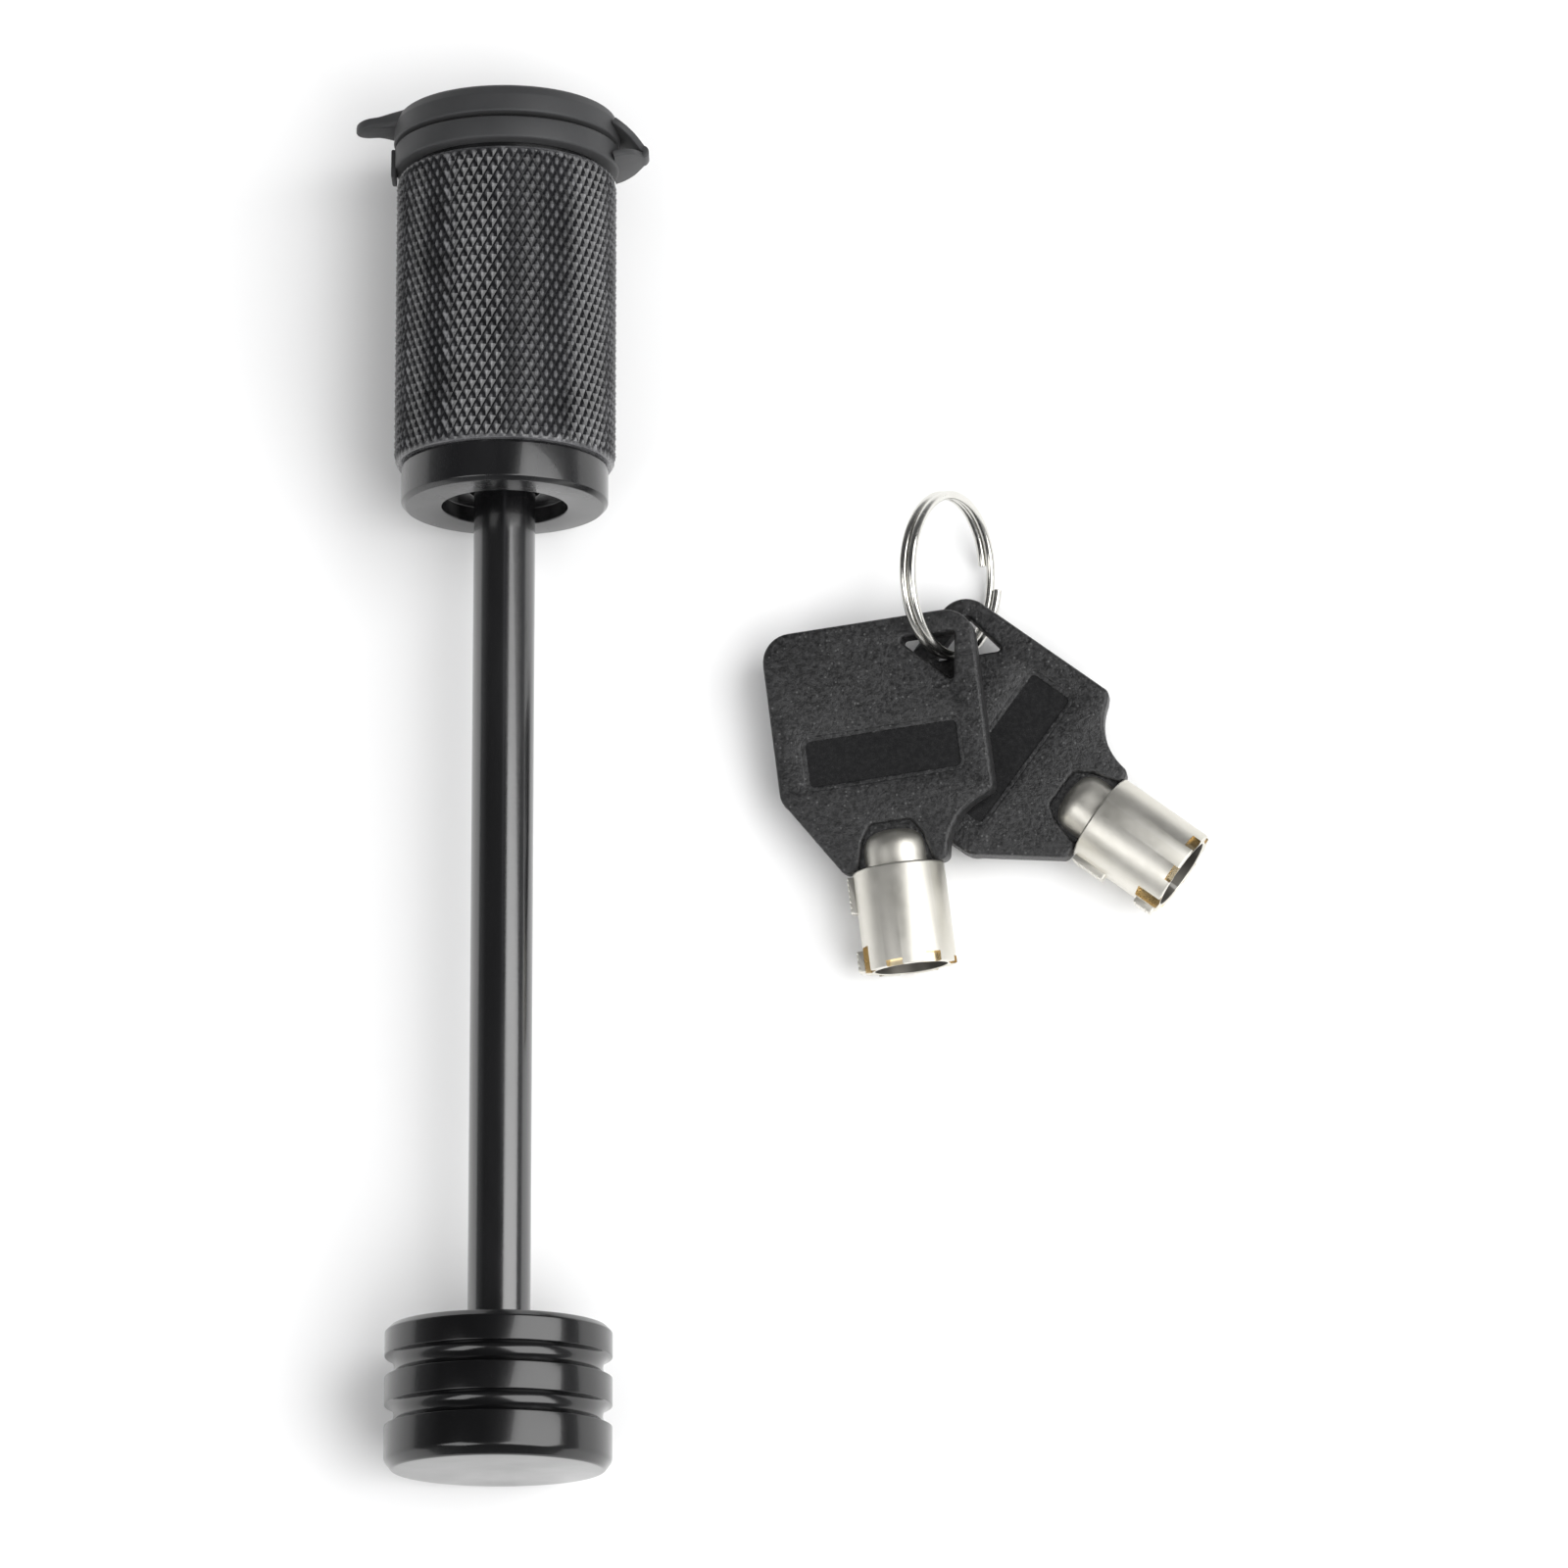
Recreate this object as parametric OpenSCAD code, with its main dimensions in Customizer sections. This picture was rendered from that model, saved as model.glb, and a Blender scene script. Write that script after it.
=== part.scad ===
// Hitch pin lock for a trailer coupler: a 1/4 in pin with a stop knob, a knurled
// lock head with a tubular lock cylinder, and two tubular keys on a split ring.
// The origin is the middle of the pin's working span, on the pin's axis.
// +Y runs along the pin towards the lock head, and +Z is up, with the lock lying on its side.

/* [Pin] */
// Diameter of the pin
pin_d = 6.35; // [6.3:0.01:6.4]
// Working length between the knob's shoulder and the lock head's collar
pin_span = 85.7; // [60:0.1:110]
// Diameter of the stop knob
knob_d = 22.9; // [20:0.1:26]
// Length of the stop knob
knob_len = 14.5; // [13:0.1:18]
// Width of each half-round groove in the knob
knob_groove_w = 2.15; // [1.6:0.05:2.4]
// Depth of each groove in the knob
knob_groove_depth = 0.95; // [0.5:0.05:1]
// Distance of the first groove from the knob's end face
knob_groove_1 = 5.5; // [4:0.1:6]
// Distance of the second groove from the knob's end face
knob_groove_2 = 10.4; // [9:0.1:11]

/* [Lock head] */
// Diameter of the smooth collar
collar_d = 21.4; // [20.6:0.1:22.6]
// Length of the smooth collar
collar_len = 4.3; // [4.2:0.1:4.4]
// Outer diameter of the knurled sleeve
sleeve_d = 23; // [22:0.1:24]
// Length of the knurled sleeve
sleeve_len = 31.3; // [31:0.1:31.4]
// Diameter of the core tube that the sleeve is pressed over
core_d = 20; // [19.6:0.1:20.2]
// Diameter of the recess in the collar's underside
recess_d = 13; // [10:0.1:15]
// Depth of that recess
recess_depth = 1.7; // [1:0.1:1.8]

/* [Dust cap] */
// Outer diameter of the rubber ring
ring_d = 23.45; // [23:0.05:24]
// Outer diameter of the cap at its open rim
cap_d = 23.7; // [23.2:0.1:24.2]
// Height of the cap
cap_h = 3.85; // [3.6:0.05:4.4]
// Distance from the pin's axis to the tip of the pull tab
tab_reach = 15.8; // [14.2:0.1:16]
// Distance from the pin's axis to the fold of the rubber hinge
hinge_x = 14.35; // [14.2:0.05:15]
// Opening angle of the cap, from 0 when it is shut
cap_open_deg = 0; // [0:1:150]

/* [Lock cylinder] */
// Number of pin stacks
pin_count = 7; // [7:1:7]
// Radius of the circle that the pin stacks stand on
pin_circle_r = 4.4; // [4.35:0.01:4.45]
// Diameter of the lock's pins
tumbler_d = 1.5; // [1.4:0.05:1.5]
// Angle of the spindle, from 0 when it is unlocked
turn_deg = 0; // [0:1:90]

/* [Keys] */
// Outer diameter of the key's tube
key_tube_d = 9.5; // [9.4:0.05:9.6]
// Inner diameter of the key's tube
key_bore_d = 7.5; // [7.4:0.05:7.6]
// Length of the tube below the bow
key_tube_len = 10.5; // [10:0.1:12]
// Thickness of the plastic bow
bow_t = 3.2; // [3:0.1:3.4]
// Width of the bow
bow_w = 22.2; // [21.6:0.1:22.6]
// Height of the bow
bow_h = 25.8; // [25.4:0.1:26.4]

/* [Key ring] */
// Diameter of the ring's wire
wire_d = 0.9; // [0.8:0.05:0.9]
// Diameter of the circle that the wire's centre follows
coil_d = 16.6; // [16.5:0.05:16.7]

/* [Hidden] */
$fn = 96;
eps = 0.01;

// Stations along the pin, measured from the origin
shoulder = -pin_span / 2;
collar = pin_span / 2;
recess_top = collar + recess_depth;
collar_top = collar + collar_len;
sleeve_start = collar_top + 0.05;
sleeve_end = sleeve_start + sleeve_len;

// Pin
knob_edge = 0.7;
knob_end_edge = 1.03;
spigot_r = 2.5;
spigot_len = 9.5;
spigot_relief = 0.5;
seat_depth = 0.1;
seat_slack = 0.02;
pin_r = pin_d / 2;
nose_r = 3;
nose_start = recess_top - 0.25;
nose_tip = collar + 13.35;
nose_chamfer = 1;
nose_step = 0.15;
ball_y = collar + 9.65;

// Locking balls and their cam
ball_r = 1.5875;
ball_free_r = 4.75;
ball_locked_r = 3.69;
ball_slack = 0.06;
cam_turn = 90;
cam_unlocked_at = 135;
cam_rise = (ball_free_r - ball_locked_r) / cam_turn;
cam_step = 5;

// Body
bore_r = 3.6;
seal_section_r = 0.9;
seal_slack = 0.02;
seal_y = recess_top + 1.55;
seal_groove_r = 5;
cavity_r = 8;
cavity_start = collar + 4.75;
core_r = core_d / 2;
ring_start = sleeve_end + 0.75;
ring_end = ring_start + 1.75;
ring_groove_r = 9.4;
body_end = ring_end + 0.3;
cap_start = ring_end + 0.45;
cap_end = cap_start + cap_h;

// Rubber hinge between the ring and the cap
hinge_y = ring_end + 0.1;
fold_r = 0.5;
fold_w = 3;
tongue_t = 0.7;
tongue_root_half = 4.2;
tongue_tip_half = 1.5;

// Ball cage and cam cup
cage_flange = [cavity_start + 0.05, cavity_start + 1.25];
cage_end = nose_tip + 1.6;
cage_r = 4.6;
cage_bore_r = 3.15;
cup_r = 7.8;
cup_start = cage_flange[1] + 0.15;
cup_base = cage_end + 0.15;
cup_end = cup_base + 2.05;
square_hole = 3.4;
square_drive = 3.3;

// Lock cylinder
case_r = 7.95;
case_start = cup_end + 0.9;
case_end = body_end - 0.4;
keyway_start = case_end - 7.3;
keyway_r = 5.05;
keyway_nib_r = 6;
nib_slot_w = 2.3;
case_cavity_r = 6.8;
flange_r = 6.7;
flange_end = keyway_start - 0.1;
shear = flange_end - 4.5;
block_end = shear - 0.1;
block_r = 6.75;
post_r = 3.6;
post_end = case_end - 0.5;
stem_r = 2.4;
stem_bore_r = 2.45;
nib_slot = [1.1, 1.4, 8];
chamber_r = tumbler_d / 2 + 0.05;
chamber_start = case_start + 1;
driver_len = 3.4;
driver_end = block_end - 0.05;
clip_y = cup_end + 0.25;
clip_t = 0.5;
clip_groove_r = 2;
retaining_y = case_start + 3.6;
retaining_r = 1;
retaining_start = 5.4;

// Key code: steps of each cut, going round the tube from the nib
key_code = [5, 0, 1, 0, 2, 1, 0];
cut_min = 0.6;
cut_step = 0.4;
press_reach = 3;

// Flat tang that ties the key's tube to its bow, and the bow's details
tang = [4.2, 13, 1.4];
tang_start = 3;
neck_r = 3.35;
neck_len = 1.2;
dome_h = 2.7;
tube_floor = 1.3;
cut_w = 1.8;
rib_proud = 0.6;
rib_w = 1.9;
panel = [15.9, 4.8];
panel_at = [-7.8, 9.4];
panel_depth = 0.25;
ring_hole = [[3.4, 23.5], [8.9, 23.5], [8.9, 18.4], [8.3, 18.1], [3.1, 22.9]];

// Keys, in their own frame: x across the bow, y up from the tube's shoulder, z through it
key_1_at = [40.55, 5.98, -6.26];
key_1_heading = 7.15;
key_1_pitch = 4.66;
key_1_roll = -10.39;
key_2_at = [61.35, 11.57, -7.05];
key_2_heading = 53.42;
key_2_pitch = -2.36;
key_2_roll = -6.67;

// Split ring: its centre and the direction of its own axis
coil_at = [46.01, 36.54, -3.68];
coil_lean = 57.48;
coil_tilt = 13.37;
coil_pitch = 0.93;
coil_turns = 1.95;
coil_start = 9;
coil_steps = 40;
wire_sides = 8;

function cut_depth(i) = cut_min + cut_step * key_code[i];
function push(i) = press_reach - cut_depth(i);
function stack_angle(i) = 180 + (i + 0.5) * 360 / pin_count;
function arc(c, r, a0, a1, n = 8) =
    [for (i = [0:n]) let (a = a0 + (a1 - a0) * i / n) c + r * [cos(a), sin(a)]];

// Turns a shape drawn with its axis on Z so that its axis lies along the pin
module along_pin() {
    rotate([-90, 0, 0]) children();
}

module tube(r_out, r_in, y0, y1) {
    translate([0, 0, y0]) difference() {
        cylinder(r = r_out, h = y1 - y0);
        translate([0, 0, -eps]) cylinder(r = r_in, h = y1 - y0 + 2 * eps);
    }
}

module rod(r, y0, y1) {
    translate([0, 0, y0]) cylinder(r = r, h = y1 - y0);
}

module torus(r_mean, r_section, y) {
    translate([0, 0, y]) rotate_extrude() translate([r_mean, 0]) circle(r = r_section, $fn = 48);
}

// Places a shape, drawn on Z at the origin, at each pin stack or at one of them
module at_stack(i) {
    rotate([0, 0, stack_angle(i)]) translate([pin_circle_r, 0, 0]) children();
}

// ---- Pin ----

module pin_knob() {
    r = knob_d / 2;
    end = shoulder - knob_len;
    groove_r = knob_groove_w / 2;
    groove_at = r + groove_r - knob_groove_depth;
    color("#1c1c1e") along_pin() difference() {
        rotate_extrude() polygon([
            [0, end], [r - knob_edge, end], [r, end + knob_end_edge], [r, shoulder - knob_edge],
            [r - knob_edge, shoulder], [0, shoulder]
        ]);
        for (from_end = [knob_groove_1, knob_groove_2]) torus(groove_at, groove_r, end + from_end);
        rod(spigot_r, shoulder - spigot_len - spigot_relief, shoulder + eps);
        rod(pin_r + seat_slack, shoulder - seat_depth, shoulder + eps);
    }
}

module pin_shaft() {
    color("#202022") along_pin() difference() {
        rotate_extrude() polygon([
            [0, shoulder - spigot_len], [spigot_r, shoulder - spigot_len],
            [spigot_r, shoulder - seat_depth], [pin_r, shoulder - seat_depth],
            [pin_r, nose_start], [nose_r, nose_start + nose_step],
            [nose_r, nose_tip - nose_chamfer], [nose_r - nose_chamfer, nose_tip], [0, nose_tip]
        ]);
        torus(ball_locked_r, ball_r + ball_slack, ball_y);
    }
}

// ---- Lock head ----

module lock_body() {
    edge = 0.5;
    r = collar_d / 2;
    lip = 9.9;
    color("#1e1e20") along_pin() difference() {
        rotate_extrude() polygon([
            [0, collar], [r - edge, collar], [r, collar + edge], [r, collar_top - 0.3],
            [r - 0.3, collar_top], [core_r, collar_top], [core_r, ring_start + 0.1],
            [ring_groove_r, ring_start + 0.1], [ring_groove_r, ring_end - 0.35],
            [lip, ring_end - 0.35], [lip, body_end], [0, body_end]
        ]);
        rod(recess_d / 2, collar - eps, recess_top);
        rod(bore_r, recess_top - eps, cavity_start + eps);
        rod(seal_groove_r, seal_y - seal_section_r - seal_slack, seal_y + seal_section_r + seal_slack);
        rod(cavity_r, cavity_start, body_end + eps);
        translate([0, 0, retaining_y]) rotate([90, 0, 0]) cylinder(r = retaining_r, h = core_r + 1);
    }
}

module grip_sleeve() {
    edge = 0.3;
    r_in = core_r + 0.02;
    r = sleeve_d / 2;
    color("#3a3a3c") along_pin() rotate_extrude() polygon([
        [r_in, sleeve_start], [r - edge, sleeve_start], [r, sleeve_start + edge],
        [r, sleeve_end - edge], [r - edge, sleeve_end], [r_in, sleeve_end]
    ]);
}

module bore_seal() {
    color("#151515") along_pin()
        torus(seal_groove_r - seal_section_r - seal_slack, seal_section_r, seal_y);
}

// Flat rubber tongue on the hinge side, from the wall out to the fold
module hinge_tongue(y0) {
    root_x = ring_d / 2 - 0.5;
    tip = tongue_tip_half;
    corner = [hinge_x - 0.6, tip + 0.4];
    translate([0, 0, y0]) linear_extrude(tongue_t) polygon([
        [root_x, -tongue_root_half], [corner.x, -corner.y], [hinge_x, -tip],
        [hinge_x, tip], corner, [root_x, tongue_root_half]
    ]);
}

module cap_ring() {
    r = ring_d / 2;
    edge = 0.12;
    color("#38383a") along_pin() {
        rotate_extrude() polygon([
            [ring_groove_r + 0.05, ring_start + 0.15], [core_r + 0.05, ring_start + 0.15],
            [core_r + 0.05, ring_start], [r - edge, ring_start], [r, ring_start + edge],
            [r, ring_end - edge], [r - edge, ring_end], [core_r - 0.05, ring_end],
            [core_r - 0.05, ring_end - 0.4], [ring_groove_r + 0.05, ring_end - 0.4]
        ]);
        hinge_tongue(hinge_y - fold_r - 0.5);
        translate([hinge_x, 0, hinge_y]) rotate([90, 0, 0])
            cylinder(r = fold_r, h = fold_w, center = true);
    }
}

module dust_cap() {
    r = cap_d / 2;
    round_r = 0.9;
    top_r = 10.9;
    tab_root = 4.5;
    tip_r = 1.8;
    wall_in = 10.05;
    roof = 1.4;
    color("#3c3c3e") translate([hinge_x, hinge_y, 0]) rotate([0, 0, -cap_open_deg])
        translate([-hinge_x, -hinge_y, 0]) along_pin() {
            rotate_extrude() polygon(concat(
                [[0, cap_end - roof], [wall_in, cap_end - roof], [wall_in, cap_start], [r, cap_start]],
                arc([top_r - round_r, cap_end - round_r], round_r, 15, 90, 5),
                [[0, cap_end]]
            ));
            hinge_tongue(hinge_y + fold_r + 0.05);
            translate([0, 0, cap_start + 1.7]) linear_extrude(1.1) union() {
                polygon([
                    [-r + 1, -tab_root], [-tab_reach + tip_r, -tip_r],
                    [-tab_reach + tip_r, tip_r], [-r + 1, tab_root]
                ]);
                translate([-tab_reach + tip_r, 0]) circle(r = tip_r);
            }
        }
}

module ball_cage() {
    color("silver") along_pin() difference() {
        union() {
            rod(cage_r, cage_flange[0], cage_end);
            rod(cavity_r - 0.05, cage_flange[0], cage_flange[1]);
        }
        rod(cage_bore_r, cage_flange[0] - eps, nose_tip + 0.6);
        translate([0, 0, ball_y]) rotate([0, 90, 0])
            cylinder(r = ball_r + ball_slack, h = 2 * cage_r + 1, center = true);
    }
}

// Radius of the cam's inner wall at an angle of the cam's own, repeated each half turn
function cam_r(a) =
    ball_locked_r + ball_r + 0.08 + cam_rise * (a % 180 - cam_unlocked_at + cam_turn);

module cam_cup() {
    color("#b8b8a8") rotate([0, -turn_deg, 0]) along_pin() difference() {
        rod(cup_r, cup_start, cup_end);
        translate([0, 0, cup_start - eps]) rotate([0, 0, -cam_unlocked_at])
            linear_extrude(cup_base - cup_start + eps) polygon([
                for (half = [0, 180]) for (a = [0:cam_step:180])
                    cam_r(min(a, 179.99)) * [cos(a + half), sin(a + half)]
            ]);
        translate([-square_hole / 2, -square_hole / 2, cup_base - eps])
            cube([square_hole, square_hole, cup_end - cup_base + 2 * eps]);
    }
}

module ball(side) {
    color("#d8d8dc") along_pin() translate([side * ball_free_r, 0, ball_y]) sphere(r = ball_r);
}

// ---- Lock cylinder ----

module cylinder_case() {
    slot_r = keyway_nib_r;
    color("#c8c8c8") along_pin() difference() {
        rod(case_r, case_start, case_end);
        rod(case_cavity_r, case_start - eps, keyway_start);
        rod(keyway_r, keyway_start - eps, case_end + eps);
        rod(slot_r, keyway_start - eps, keyway_start + 4.6);
        translate([-slot_r, -nib_slot_w / 2, keyway_start])
            cube([slot_r, nib_slot_w, case_end - keyway_start + eps]);
        translate([0, 0, retaining_y]) rotate([90, 0, 0]) cylinder(r = retaining_r, h = core_r + 1);
    }
}

module rotor() {
    color("#c9b458") rotate([0, -turn_deg, 0]) along_pin() difference() {
        union() {
            rod(flange_r, shear, flange_end);
            rod(post_r, flange_end - eps, post_end);
            rod(stem_r, cup_end, shear + eps);
            translate([-square_drive / 2, -square_drive / 2, cup_base])
                cube([square_drive, square_drive, cup_end - cup_base + eps]);
        }
        for (i = [0:pin_count - 1]) at_stack(i) rod(chamber_r, shear - eps, flange_end + 1);
        translate([0, 0, clip_y - 0.05]) difference() {
            cylinder(r = stem_r + 1, h = clip_t + 0.1);
            translate([0, 0, -eps]) cylinder(r = clip_groove_r, h = clip_t + 0.1 + 2 * eps);
        }
        translate([-post_r - eps, -nib_slot.y / 2, flange_end + 0.5]) cube(nib_slot);
    }
}

module snap_ring() {
    color("#8a8a90") rotate([0, -turn_deg, 0]) along_pin() translate([0, 0, clip_y]) difference() {
        cylinder(r = 3.6, h = clip_t);
        translate([0, 0, -eps]) cylinder(r = clip_groove_r + 0.02, h = clip_t + 2 * eps);
        translate([0, -1.1, -eps]) cube([5, 2.2, clip_t + 2 * eps]);
    }
}

module pin_block() {
    color("#c9b458") along_pin() difference() {
        rod(block_r, case_start, block_end);
        rod(stem_bore_r, case_start - eps, block_end + eps);
        for (i = [0:pin_count - 1]) at_stack(i) rod(chamber_r, chamber_start, block_end + eps);
        translate([0, -retaining_start, retaining_y]) rotate([90, 0, 0])
            cylinder(r = retaining_r, h = block_r);
    }
}

module retaining_pin() {
    color("#8a8a90") along_pin() translate([0, -retaining_start, retaining_y]) rotate([90, 0, 0])
        cylinder(r = retaining_r, h = core_r - retaining_start - 0.05);
}

module key_pin(i) {
    color("#d0b050") rotate([0, -turn_deg, 0]) along_pin() at_stack(i)
        rod(tumbler_d / 2, shear + 0.02, flange_end - push(i));
}

module driver_pin(i) {
    color("#c0c0c4") along_pin() at_stack(i) rod(tumbler_d / 2, driver_end - driver_len, driver_end);
}

// Closed tube swept along a helix on Z: n rings of m sides, with flat ends
module helix(r_mean, r_wire, height, turns, steps, m) {
    n = turns * steps;
    points = [for (k = [0:n]) let (a = 360 * k / steps, z = height * k / n) for (j = [0:m - 1])
        let (b = 360 * j / m, q = r_mean + r_wire * cos(b))
        [q * cos(a), q * sin(a), z + r_wire * sin(b)]];
    sides = [for (k = [0:n - 1]) for (j = [0:m - 1])
        let (a = k * m + j, b = k * m + (j + 1) % m) each [[a, a + m, b + m], [a, b + m, b]]];
    ends = [[for (j = [0:m - 1]) j], [for (j = [m - 1:-1:0]) n * m + j]];
    polyhedron(points, concat(sides, ends), convexity = 8);
}

module pin_spring(i) {
    wire_r = 0.11;
    free = driver_end - driver_len - chamber_start;
    color("#b0b0b4") along_pin() at_stack(i) translate([0, 0, chamber_start + wire_r + 0.02])
        helix(0.58, wire_r, free - 2 * wire_r - 0.04, 5, 9, 5);
}

// ---- Keys ----

module place_key(at, heading, pitch, roll) {
    translate(at) rotate([0, 0, heading]) rotate([pitch, 0, 0]) rotate([0, roll, 0]) children();
}

module key_tang() {
    translate([-tang.x / 2, tang_start, -tang.z / 2]) cube(tang);
}

module key_shank() {
    r = key_tube_d / 2;
    color("#c9c7c0") {
        difference() {
            rotate([90, 0, 0]) cylinder(r = r, h = key_tube_len);
            translate([0, -tube_floor, 0]) rotate([90, 0, 0])
                cylinder(r = key_bore_d / 2, h = key_tube_len);
            for (i = [0:pin_count - 1]) rotate([0, (i + 0.5) * 360 / pin_count, 0])
                translate([-r - 1, -key_tube_len - 1, -cut_w / 2]) cube([1.75, cut_depth(i) + 1, cut_w]);
        }
        rotate([-90, 0, 0]) rotate_extrude() polygon(concat(
            [[0, -eps], [neck_r, -eps]],
            [for (a = [0:10:90]) [neck_r * cos(a), neck_len + dome_h * sin(a)]]
        ));
        for (rib = [[-4.2, 3.8], [-10.3, 2.2]]) translate([-r - rib_proud, rib[0], -rib_w / 2])
            cube([1, rib[1], rib_w]);
        key_tang();
    }
}

// Outline of the bow: rounded top corners, a cut-away lower right side and a mouth for the neck
module bow_outline() {
    h = bow_w / 2;
    corner = 3;
    foot = [4.7, 0];
    mouth = [[3.95, 0], [2.3, 4.7]];
    hollow = [11.76, 0];
    hollow_r = 6.3;
    polygon(concat(
        arc([h - corner, bow_h - corner], corner, 0, 90),
        arc([-h + corner, bow_h - corner], corner, 90, 180),
        arc([-h + 2.4, 9.2], 2.4, 180, 225, 4),
        arc([-5, 1], 1, 225, 270, 4),
        [[-mouth[0].x, 0], [-mouth[1].x, mouth[1].y], mouth[1], mouth[0]],
        arc(foot + [0, 0.8], 0.8, -90, 0, 4),
        arc(hollow, hollow_r, 170, 106, 8),
        arc([h - 0.8, 7.1], 0.8, -60, 0, 4)
    ));
}

module key_bow() {
    color("#2e2f31") difference() {
        translate([0, 0, -bow_t / 2]) linear_extrude(bow_t) difference() {
            bow_outline();
            polygon(ring_hole);
        }
        for (floor = [bow_t / 2 - panel_depth, -bow_t])
            translate([panel_at.x, panel_at.y, floor]) cube([panel.x, panel.y, bow_t / 2 + panel_depth]);
        key_tang();
    }
}

module place_key_1() {
    place_key(key_1_at, key_1_heading, key_1_pitch, key_1_roll) children();
}

module place_key_2() {
    place_key(key_2_at, key_2_heading, key_2_pitch, key_2_roll) children();
}

module key_ring() {
    color("#c4c4c6") translate(coil_at) rotate([coil_tilt, 0, 0]) rotate([0, coil_lean, 0])
        rotate([0, 0, coil_start]) translate([0, 0, -coil_pitch * coil_turns / 2])
            helix(coil_d / 2, wire_d / 2, coil_pitch * coil_turns, coil_turns, coil_steps, wire_sides);
}

pin_knob();
pin_shaft();
lock_body();
grip_sleeve();
bore_seal();
cap_ring();
ball_cage();
cylinder_case();
pin_block();
retaining_pin();
dust_cap();
rotor();
snap_ring();
cam_cup();
ball(1);  // ball_a
ball(-1);  // ball_b
key_pin(0);  // key_pin_1
key_pin(1);  // key_pin_2
key_pin(2);  // key_pin_3
key_pin(3);  // key_pin_4
key_pin(4);  // key_pin_5
key_pin(5);  // key_pin_6
key_pin(6);  // key_pin_7
driver_pin(0);  // driver_pin_1
driver_pin(1);  // driver_pin_2
driver_pin(2);  // driver_pin_3
driver_pin(3);  // driver_pin_4
driver_pin(4);  // driver_pin_5
driver_pin(5);  // driver_pin_6
driver_pin(6);  // driver_pin_7
pin_spring(0);  // pin_spring_1
pin_spring(1);  // pin_spring_2
pin_spring(2);  // pin_spring_3
pin_spring(3);  // pin_spring_4
pin_spring(4);  // pin_spring_5
pin_spring(5);  // pin_spring_6
pin_spring(6);  // pin_spring_7
place_key_1() key_bow();  // key_1_bow
place_key_1() key_shank();  // key_1_shank
place_key_2() key_bow();  // key_2_bow
place_key_2() key_shank();  // key_2_shank
key_ring();
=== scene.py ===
"""Hitch pin lock lying on a pale table beside its two tubular keys on a split ring.

Everything is worked out in millimetres in the row frame: +Y runs along the pin towards the lock
head, +Z is up. Each key is worked out in its own frame (x across the bow, y up from the tube's
shoulder, z through it) and then placed. Meshes are made in metres.
"""

import math

import bmesh
import bpy
from mathutils import Matrix, Vector
from mathutils.geometry import tessellate_polygon


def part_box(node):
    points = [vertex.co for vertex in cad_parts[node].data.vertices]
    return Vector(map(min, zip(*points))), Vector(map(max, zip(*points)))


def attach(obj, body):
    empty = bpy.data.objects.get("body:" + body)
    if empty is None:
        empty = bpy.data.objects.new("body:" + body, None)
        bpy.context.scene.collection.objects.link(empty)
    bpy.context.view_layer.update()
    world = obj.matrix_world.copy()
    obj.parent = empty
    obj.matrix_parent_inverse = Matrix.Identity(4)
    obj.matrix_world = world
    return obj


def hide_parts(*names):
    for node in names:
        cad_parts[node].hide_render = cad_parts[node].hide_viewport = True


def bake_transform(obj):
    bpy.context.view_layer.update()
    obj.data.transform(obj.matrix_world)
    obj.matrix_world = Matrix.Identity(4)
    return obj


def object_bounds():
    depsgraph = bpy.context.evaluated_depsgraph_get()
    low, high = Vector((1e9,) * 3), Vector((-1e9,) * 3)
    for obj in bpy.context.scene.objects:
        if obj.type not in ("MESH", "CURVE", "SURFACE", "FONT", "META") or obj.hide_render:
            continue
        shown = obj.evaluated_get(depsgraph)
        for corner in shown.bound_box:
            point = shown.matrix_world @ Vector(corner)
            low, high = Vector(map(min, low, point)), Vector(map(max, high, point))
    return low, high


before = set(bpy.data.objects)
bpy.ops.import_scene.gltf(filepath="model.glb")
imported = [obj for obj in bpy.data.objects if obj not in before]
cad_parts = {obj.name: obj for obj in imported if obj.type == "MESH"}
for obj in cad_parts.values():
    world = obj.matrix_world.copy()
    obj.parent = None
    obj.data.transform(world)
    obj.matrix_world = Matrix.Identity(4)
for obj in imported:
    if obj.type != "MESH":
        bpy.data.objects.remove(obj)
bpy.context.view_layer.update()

MM = 0.001
TAU = 2 * math.pi


def box_mm(node):
    """A CAD node's box at rest, in millimetres."""
    low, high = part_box(node)
    return low / MM, high / MM


# ---- Driving dimensions, in millimetres ----

knob_low, knob_high = box_mm("pin_knob")
shaft_low, shaft_high = box_mm("pin_shaft")
body_low, body_high = box_mm("lock_body")
sleeve_low, sleeve_high = box_mm("grip_sleeve")
ring_low, ring_high = box_mm("cap_ring")
cap_low, cap_high = box_mm("dust_cap")

# The knob. Its grooves are measured from its outer end.
KNOB_R = knob_high.x
KNOB_GROOVES = (5.5, 10.4)
KNOB_GROOVE_R = 1.075
KNOB_GROOVE_DEPTH = 0.95

# The pin: its spigot in the knob, its nose in the head, and the balls' groove round the nose.
PIN_R = shaft_high.x
SPIGOT_R = 2.5
SEAT_DEPTH = 0.1
NOSE_R = 3.0
NOSE_START = 44.3
NOSE_STEP = 0.15
GROOVE_CENTRE_R = 3.69
GROOVE_CENTRE_Y = 52.5
GROOVE_SECTION_R = 1.65

# The head's body: collar, recessed underside, core tube, and the rubber ring's seat round its end.
COLLAR_R = 10.7
COLLAR_LEN = 4.3
RECESS_R = 6.5
RECESS_DEPTH = 1.7
BORE_R = 3.6
CORE_R = 10.0
CORE_END_R = 9.9
SEAT_R = 9.4
CAVITY_R = 8.0
CAVITY_START = 4.75

# The sleeve and its diamond knurl.
SLEEVE_R = sleeve_high.x
KNURL_STARTS = 68
KNURL_PITCH = 1.92
KNURL_DEPTH = 0.34

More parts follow.
